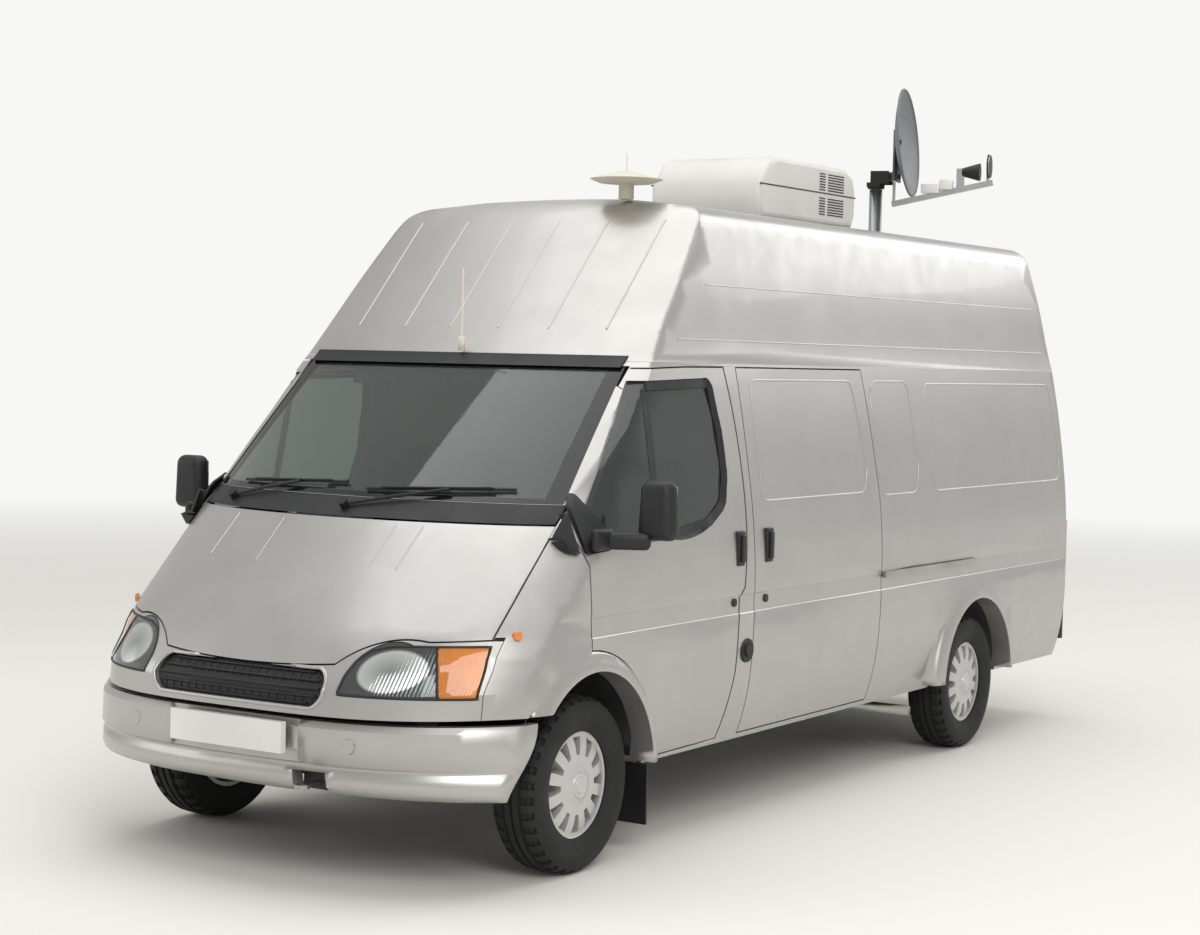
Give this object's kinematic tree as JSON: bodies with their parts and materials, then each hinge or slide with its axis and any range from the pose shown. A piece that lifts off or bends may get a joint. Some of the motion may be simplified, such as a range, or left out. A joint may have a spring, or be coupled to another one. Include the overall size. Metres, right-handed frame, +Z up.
{
  "type": "mobile office van",
  "caption": "Long high-roof panel van fitted as a mobile office, with hinged doors and bonnet, steered wheels, roof cooler, aerials and a steerable dish.",
  "frame": {"origin": "on the ground, midway between the front plate and the rear bumper, on the centreline", "axes": "+Z up, the van faces -Y, its left side is +X"},
  "size_m": [2.456, 5.83, 3.4043],
  "materials": {
    "silver_paint": "metallic satin",
    "black_plastic": "grained matt",
    "tinted_glass": "tinted",
    "lamp_glass": "fluted clear",
    "red_lens": "gloss",
    "chassis_black": "satin",
    "engine_grey": "cast",
    "tyre_rubber": "matt",
    "wheel_silver": "satin",
    "seat_fabric": "woven",
    "dash_grey": "grained",
    "grey_panel": "satin",
    "plate_white": "satin",
    "bright_steel": "satin",
    "cooler_white": "satin",
    "aerial_cream": "satin",
    "dish_grey": "satin",
    "mast_alloy": "satin"
  },
  "bodies": {
    "root": {"aerials": "aerial_cream", "air_conditioner": "cooler_white", "arch_liners": "black_plastic", "body_side_left": "silver_paint", "body_side_right": "silver_paint", "bulkhead": "grey_panel", "cab_frame": "silver_paint", "chassis_frame": "chassis_black", "dashboard": "dash_grey", "dish_mast": "mast_alloy", "door_track": "bright_steel", "engine": "engine_grey", "exhaust": "bright_steel", "floor_pan": "grey_panel", "front_bumper": "silver_paint", "front_suspension": "chassis_black", "front_wings": "silver_paint", "fuel_tank": "chassis_black", "grille": "black_plastic", "headlamps": "lamp_glass", "high_roof": "silver_paint", "nose_panel": "silver_paint", "number_plates": "plate_white", "rear_axle": "chassis_black", "rear_bumper": "black_plastic", "rear_frame": "silver_paint", "seats": "seat_fabric", "sliding_door": "silver_paint", "spare_wheel": "tyre_rubber", "tail_lamps": "red_lens", "tow_eye": "bright_steel", "windscreen": "tinted_glass", "windscreen_surround": "black_plastic"},
    "bonnet": {"bonnet": "silver_paint"},
    "steering_wheel": {"steering_wheel": "black_plastic"},
    "dish_turn": {"dish_fork": "chassis_black"},
    "dish_tilt": {"dish_reflector": "dish_grey", "feed_arm": "mast_alloy"},
    "front_door_left": {"front_door_left": "silver_paint", "front_door_glass_left": "tinted_glass", "door_mirror_left": "black_plastic"},
    "rear_door_left": {"rear_door_left": "silver_paint", "rear_door_glass_left": "tinted_glass"},
    "knuckle_left": {"knuckle_left": "engine_grey"},
    "front_wheel_left": {"tyre_front_left": "tyre_rubber", "wheel_front_left": "wheel_silver"},
    "rear_wheel_left": {"tyre_rear_left": "tyre_rubber", "wheel_rear_left": "wheel_silver"},
    "front_door_right": {"front_door_right": "silver_paint", "front_door_glass_right": "tinted_glass", "door_mirror_right": "black_plastic"},
    "rear_door_right": {"rear_door_right": "silver_paint", "rear_door_glass_right": "tinted_glass"},
    "knuckle_right": {"knuckle_right": "engine_grey"},
    "front_wheel_right": {"tyre_front_right": "tyre_rubber", "wheel_front_right": "wheel_silver"},
    "rear_wheel_right": {"tyre_rear_right": "tyre_rubber", "wheel_rear_right": "wheel_silver"}
  },
  "joints": [
    {"name": "steer_left", "type": "hinge", "parent": "root", "child": "knuckle_left", "pos_m": [0.78, -2.01, 0.33], "axis": [0, 0, 1], "range_deg": [-35, 35]},
    {"name": "steer_right", "type": "hinge", "parent": "root", "child": "knuckle_right", "pos_m": [-0.78, -2.01, 0.33], "axis": [0, 0, 1], "range_deg": [-35, 35]},
    {"name": "steering_wheel_turn", "type": "hinge", "parent": "root", "child": "steering_wheel", "pos_m": [-0.4, -1.57096, 1.24935], "axis": [0, 0.6198, 0.7848], "range_deg": [-560, 560]},
    {"name": "bonnet_hinge", "type": "hinge", "parent": "root", "child": "bonnet", "pos_m": [0, -2.11, 1.3], "axis": [-1, 0, 0], "range_deg": [0, 50]},
    {"name": "front_door_left_hinge", "type": "hinge", "parent": "root", "child": "front_door_left", "pos_m": [0.994, -2.076, 1.1], "axis": [0, 0, -1], "range_deg": [0, 70]},
    {"name": "front_door_right_hinge", "type": "hinge", "parent": "root", "child": "front_door_right", "pos_m": [-0.994, -2.076, 1.1], "axis": [0, 0, 1], "range_deg": [0, 70]},
    {"name": "rear_door_left_hinge", "type": "hinge", "parent": "root", "child": "rear_door_left", "pos_m": [0.792, 2.83, 1.26], "axis": [0, 0.0393, -0.9992], "range_deg": [0, 180]},
    {"name": "rear_door_right_hinge", "type": "hinge", "parent": "root", "child": "rear_door_right", "pos_m": [-0.792, 2.83, 1.26], "axis": [0, -0.0393, 0.9992], "range_deg": [0, 180]},
    {"name": "dish_azimuth", "type": "hinge", "parent": "root", "child": "dish_turn", "pos_m": [0, 2.31, 2.88], "axis": [0, 0, 1], "range_deg": [-170, 170]},
    {"name": "dish_elevation", "type": "hinge", "parent": "dish_turn", "child": "dish_tilt", "pos_m": [0.04366, 2.32089, 2.93], "axis": [0.2419, -0.9703, 0], "range_deg": [-15, 45]},
    {"name": "front_wheel_left_roll", "type": "hinge", "parent": "knuckle_left", "child": "front_wheel_left", "pos_m": [0.846, -2.01, 0.33], "axis": [1, 0, 0], "continuous": true},
    {"name": "front_wheel_right_roll", "type": "hinge", "parent": "knuckle_right", "child": "front_wheel_right", "pos_m": [-0.846, -2.01, 0.33], "axis": [1, 0, 0], "continuous": true},
    {"name": "rear_wheel_left_roll", "type": "hinge", "parent": "root", "child": "rear_wheel_left", "pos_m": [0.846, 1.56, 0.33], "axis": [1, 0, 0], "continuous": true},
    {"name": "rear_wheel_right_roll", "type": "hinge", "parent": "root", "child": "rear_wheel_right", "pos_m": [-0.846, 1.56, 0.33], "axis": [1, 0, 0], "continuous": true}
  ],
  "couplings": [
    {"joint": "steer_right", "follows": "steer_left", "ratio": 1},
    {"joint": "steering_wheel_turn", "follows": "steer_left", "ratio": 16}
  ]
}
